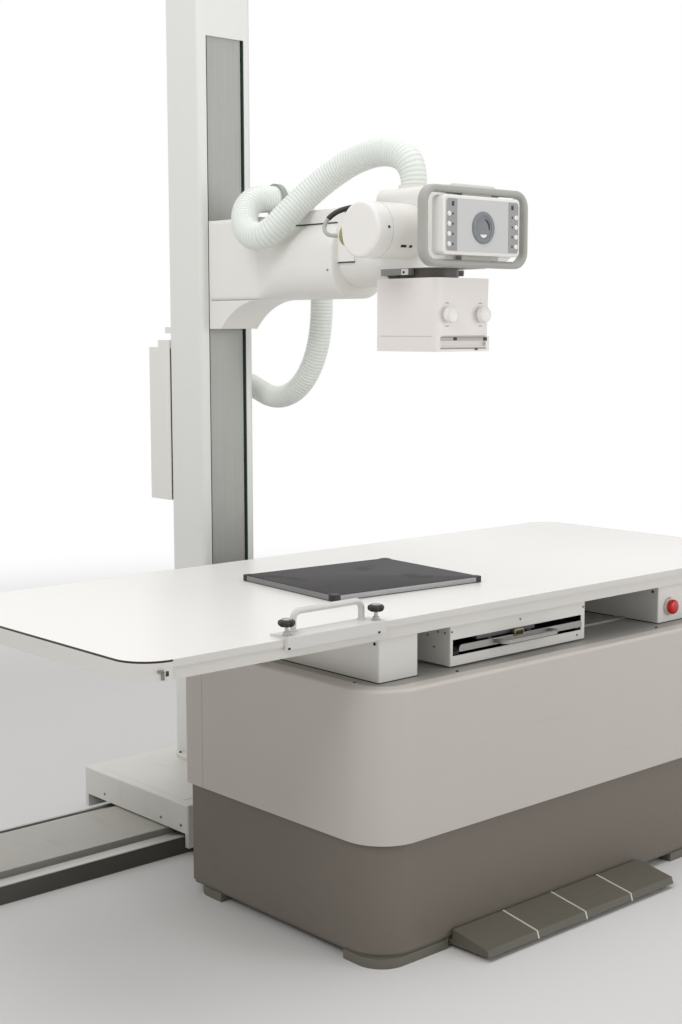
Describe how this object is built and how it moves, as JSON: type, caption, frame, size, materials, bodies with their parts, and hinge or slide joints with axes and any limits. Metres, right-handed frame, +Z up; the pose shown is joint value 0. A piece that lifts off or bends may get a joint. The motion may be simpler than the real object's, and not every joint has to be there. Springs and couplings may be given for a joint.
{
  "type": "floor-mounted x-ray table and tube stand",
  "caption": "Height-adjustable x-ray table with floating top, cassette box and foot pedals, and a rail-mounted column whose arm carries a turning x-ray tube head and collimator.",
  "frame": {"origin": "middle of the table's base at floor level", "axes": "+X along the table and the floor rail, +Y from the table's front towards the tube stand, +Z up"},
  "size_m": [2.9, 1.547, 2.332],
  "materials": {
    "warm_white_paint": "satin powder coat",
    "white_moulding": "fine satin moulding",
    "light_grey_cover": "satin powder coat",
    "taupe_cover": "satin powder coat",
    "dark_deck": "matt paint",
    "steel": "machined",
    "black_steel": "matt black",
    "rail_aluminium": "brushed and anodised",
    "tabletop_laminate": "smooth semi-gloss laminate",
    "white_aluminium": "white powder coat on aluminium",
    "edge_band_brown": "satin edge band",
    "console_frame_grey": "satin moulding",
    "console_face_grey": "membrane foil",
    "pedal_grey": "textured paint",
    "divider_white": "satin moulding",
    "green_rubber": "matt rubber",
    "hose_mint": "satin corrugated plastic",
    "cable_grey": "satin cable jacket",
    "button_red": "glossy",
    "black_plastic": "satin",
    "detector_dark": "fine texture",
    "clear_window": "clear",
    "ring_grey": "satin"
  },
  "bodies": {
    "base": {"base_frame": "taupe_cover", "lower_cover": "taupe_cover", "lift_column_outer": "steel", "pedal_bracket": "divider_white", "floor_rail": "rail_aluminium", "rail_cover": "light_grey_cover"},
    "pedal_1": {"foot_pedal_1": "pedal_grey"},
    "pedal_2": {"foot_pedal_2": "pedal_grey"},
    "pedal_3": {"foot_pedal_3": "pedal_grey"},
    "pedal_4": {"foot_pedal_4": "pedal_grey"},
    "lift_middle": {"lift_column_middle": "steel"},
    "table_body": {"upper_cover": "light_grey_cover", "rear_cover": "light_grey_cover", "deck_plate": "dark_deck", "lift_column_inner": "steel", "end_boxes": "warm_white_paint"},
    "stop": {"stop_button": "button_red"},
    "bucky": {"bucky_housing": "warm_white_paint", "bucky_grid": "white_moulding"},
    "tray": {"cassette_tray": "steel"},
    "cross_carriage": {"cross_beams": "black_steel"},
    "tabletop": {"tabletop_panel": "tabletop_laminate", "edge_band": "edge_band_brown", "side_rails": "white_aluminium", "end_aprons": "light_grey_cover", "detector": "detector_dark"},
    "hand_grip": {"rail_clamp": "steel"},
    "left_clamp_knob": {"star_knob_left": "black_plastic"},
    "right_clamp_knob": {"star_knob_right": "black_plastic"},
    "stand": {"carriage_cover": "warm_white_paint", "carriage_frame": "steel"},
    "column_assembly": {"column": "white_aluminium", "channel_strip": "steel", "slot_lips": "green_rubber", "column_cap": "warm_white_paint", "control_box": "warm_white_paint", "arm_rope": "steel", "weight_rope": "steel"},
    "counterweight_block": {"counterweight": "black_steel"},
    "rope_pulley": {"pulley": "steel"},
    "arm": {"arm_bracket": "warm_white_paint", "arm_housing": "warm_white_paint", "arm_top_cover": "white_moulding", "hose_clamp": "ring_grey", "upper_hose": "hose_mint", "lower_hose": "hose_mint"},
    "tube_head": {"trunnion": "warm_white_paint", "tube_housing": "warm_white_paint", "tube_end_caps": "white_moulding", "head_cover": "warm_white_paint", "console_housing": "white_moulding", "console_face": "console_face_grey", "console_frame": "console_frame_grey", "mounting_plate": "warm_white_paint", "tube_cable": "cable_grey"},
    "collimator": {"swivel_ring": "ring_grey", "collimator_body": "white_moulding", "collimator_window": "clear_window"},
    "left_shutter": {"shutter_knob_left": "white_moulding"},
    "right_shutter": {"shutter_knob_right": "white_moulding"}
  },
  "joints": [
    {"name": "table_lift", "type": "slide", "parent": "base", "child": "table_body", "axis": [0, 0, 1], "range_m": [-0.2, 0.06]},
    {"name": "pedal_press_1", "type": "hinge", "parent": "base", "child": "pedal_1", "pos_m": [-0.3315, -0.33, 0.014], "axis": [1, 0, 0], "range_deg": [0, 3.4], "stiffness_Nm_per_rad": 40, "springref_deg": -20.05},
    {"name": "pedal_press_2", "type": "hinge", "parent": "base", "child": "pedal_2", "pos_m": [-0.1585, -0.33, 0.014], "axis": [1, 0, 0], "range_deg": [0, 3.4], "stiffness_Nm_per_rad": 40, "springref_deg": -20.05},
    {"name": "pedal_press_3", "type": "hinge", "parent": "base", "child": "pedal_3", "pos_m": [0.0145, -0.33, 0.014], "axis": [1, 0, 0], "range_deg": [0, 3.4], "stiffness_Nm_per_rad": 40, "springref_deg": -20.05},
    {"name": "pedal_press_4", "type": "hinge", "parent": "base", "child": "pedal_4", "pos_m": [0.1875, -0.33, 0.014], "axis": [1, 0, 0], "range_deg": [0, 3.4], "stiffness_Nm_per_rad": 40, "springref_deg": -20.05},
    {"name": "lift_middle_slide", "type": "slide", "parent": "base", "child": "lift_middle", "axis": [0, 0, 1], "range_m": [-0.1, 0.03]},
    {"name": "cross_float", "type": "slide", "parent": "table_body", "child": "cross_carriage", "axis": [0, 1, 0], "range_m": [-0.27, 0]},
    {"name": "long_float", "type": "slide", "parent": "cross_carriage", "child": "tabletop", "axis": [1, 0, 0], "range_m": [-0.3, 0.55]},
    {"name": "bucky_slide", "type": "slide", "parent": "table_body", "child": "bucky", "axis": [1, 0, 0], "range_m": [-0.09, 0.29]},
    {"name": "tray_slide", "type": "slide", "parent": "bucky", "child": "tray", "axis": [0, -1, 0], "range_m": [0, 0.4]},
    {"name": "stop_press", "type": "slide", "parent": "table_body", "child": "stop", "axis": [0, 1, 0], "range_m": [0, 0.004], "stiffness_N_per_m": 800},
    {"name": "grip_slide", "type": "slide", "parent": "tabletop", "child": "hand_grip", "axis": [1, 0, 0], "range_m": [-0.26, 0.3]},
    {"name": "left_knob_turn", "type": "hinge", "parent": "hand_grip", "child": "left_clamp_knob", "pos_m": [-0.8545, -0.3, 0.79], "axis": [0, 0, 1], "range_deg": [-720, 720]},
    {"name": "right_knob_turn", "type": "hinge", "parent": "hand_grip", "child": "right_clamp_knob", "pos_m": [-0.6045, -0.3, 0.79], "axis": [0, 0, 1], "range_deg": [-720, 720]},
    {"name": "stand_slide", "type": "slide", "parent": "base", "child": "stand", "axis": [1, 0, 0], "range_m": [-0.9, 1.15]},
    {"name": "column_turn", "type": "hinge", "parent": "stand", "child": "column_assembly", "pos_m": [-0.132, 0.9005, 0.15], "axis": [0, 0, 1], "range_deg": [-90, 90]},
    {"name": "arm_slide", "type": "slide", "parent": "column_assembly", "child": "arm", "axis": [0, 0, 1], "range_m": [-0.4, 0.45], "deforming": ["arm_rope", "lower_hose"]},
    {"name": "counterweight_slide", "type": "slide", "parent": "column_assembly", "child": "counterweight_block", "axis": [0, 0, 1], "range_m": [-0.45, 0.4], "deforming": ["weight_rope"]},
    {"name": "pulley_turn", "type": "hinge", "parent": "column_assembly", "child": "rope_pulley", "pos_m": [-0.132, 0.895, 2.262], "axis": [1, 0, 0], "range_deg": [-700, 700]},
    {"name": "head_turn", "type": "hinge", "parent": "arm", "child": "tube_head", "pos_m": [-0.132, 0.12, 1.575], "axis": [0, 1, 0], "range_deg": [-120, 120], "deforming": ["upper_hose"]},
    {"name": "collimator_turn", "type": "hinge", "parent": "tube_head", "child": "collimator", "pos_m": [-0.132, 0, 1.526], "axis": [0, 0, 1], "range_deg": [-45, 45]},
    {"name": "left_shutter_turn", "type": "hinge", "parent": "collimator", "child": "left_shutter", "pos_m": [-0.1895, -0.12, 1.431], "axis": [0, 1, 0], "range_deg": [-100, 100]},
    {"name": "right_shutter_turn", "type": "hinge", "parent": "collimator", "child": "right_shutter", "pos_m": [-0.0745, -0.12, 1.431], "axis": [0, 1, 0], "range_deg": [-100, 100]}
  ],
  "couplings": [
    {"joint": "lift_middle_slide", "follows": "table_lift", "ratio": 0.5},
    {"joint": "counterweight_slide", "follows": "arm_slide", "ratio": -1},
    {"joint": "pulley_turn", "follows": "arm_slide", "rad_per_m": -25.575}
  ]
}
